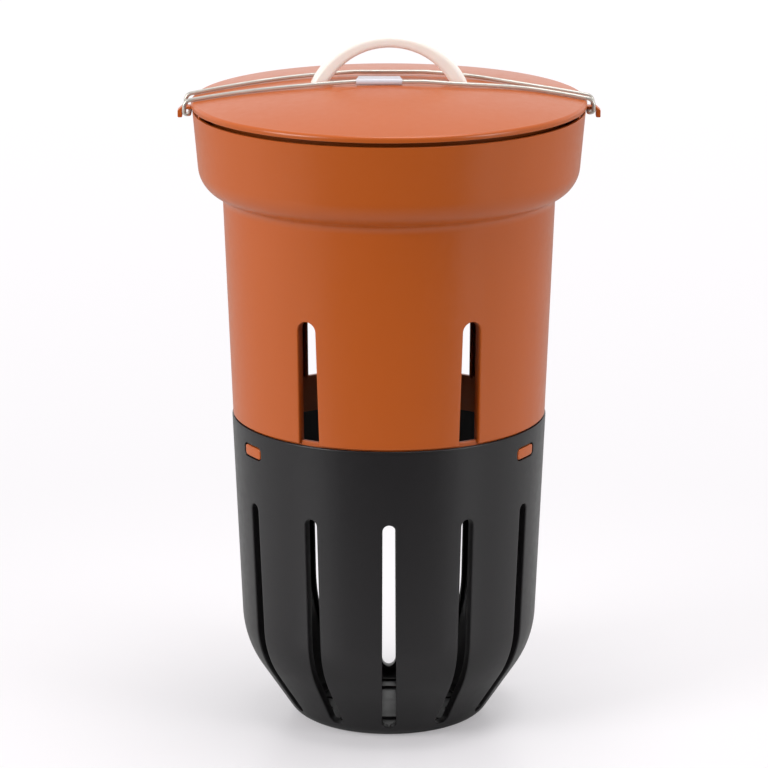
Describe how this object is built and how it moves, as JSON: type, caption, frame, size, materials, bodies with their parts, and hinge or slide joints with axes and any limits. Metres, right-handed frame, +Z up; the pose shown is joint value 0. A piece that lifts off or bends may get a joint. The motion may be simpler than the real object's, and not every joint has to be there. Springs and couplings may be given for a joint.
{
  "type": "worm composter",
  "caption": "In-ground worm composter: slotted round basket, tapered feeding pot with a flared rim, domed lid with an arch handle, and a spring wire bail that holds the lid down",
  "frame": {"origin": "Centre of the flat round foot, on the surface that the composter stands on", "axes": "+Z is up, along the vessel's axis. -Y is the front, with one basket slot in its middle. +X and -X point to the two lugs"},
  "size_m": [0.3096, 0.29, 0.5168],
  "materials": {
    "black_plastic": "satin moulded black plastic",
    "orange_plastic": "satin moulded terracotta orange plastic",
    "cream_plastic": "smooth cream plastic",
    "plated_steel": "zinc plated",
    "steel_wire": "bright drawn stainless wire",
    "pale_plastic": "smooth pale grey plastic"
  },
  "bodies": {
    "vessel": {"basket": "black_plastic", "pot": "orange_plastic"},
    "button_left": {"release_button_left": "orange_plastic"},
    "button_right": {"release_button_right": "orange_plastic"},
    "button_rear": {"release_button_rear": "orange_plastic"},
    "lid": {"lid": "orange_plastic", "handle": "cream_plastic", "handle_screws": "plated_steel", "handle_washers": "plated_steel"},
    "bail": {"bail_wire": "steel_wire"},
    "tab": {"bail_tab": "pale_plastic"}
  },
  "joints": [
    {"name": "lid_lift", "type": "slide", "parent": "vessel", "child": "lid", "axis": [0, 0, 1], "range_m": [0, 0.15]},
    {"name": "bail_swing", "type": "hinge", "parent": "lid", "child": "bail", "pos_m": [-0.1458, 0, 0.4602], "axis": [0, -1, 0], "range_deg": [0, 110]},
    {"name": "tab_flip", "type": "hinge", "parent": "bail", "child": "tab", "pos_m": [-0.0072, -0.02, 0.48553], "axis": [1, 0, 0], "range_deg": [0, 150]},
    {"name": "release_left", "type": "hinge", "parent": "vessel", "child": "button_left", "pos_m": [-0.09591, -0.05538, 0.2307], "axis": [0.5, -0.866, 0], "range_deg": [0, 16], "stiffness_Nm_per_rad": 0.5},
    {"name": "release_right", "type": "hinge", "parent": "vessel", "child": "button_right", "pos_m": [0.09591, -0.05538, 0.2307], "axis": [0.5, 0.866, 0], "range_deg": [0, 16], "stiffness_Nm_per_rad": 0.5},
    {"name": "release_rear", "type": "hinge", "parent": "vessel", "child": "button_rear", "pos_m": [0, 0.11075, 0.2307], "axis": [-1, 0, 0], "range_deg": [0, 16], "stiffness_Nm_per_rad": 0.5}
  ]
}
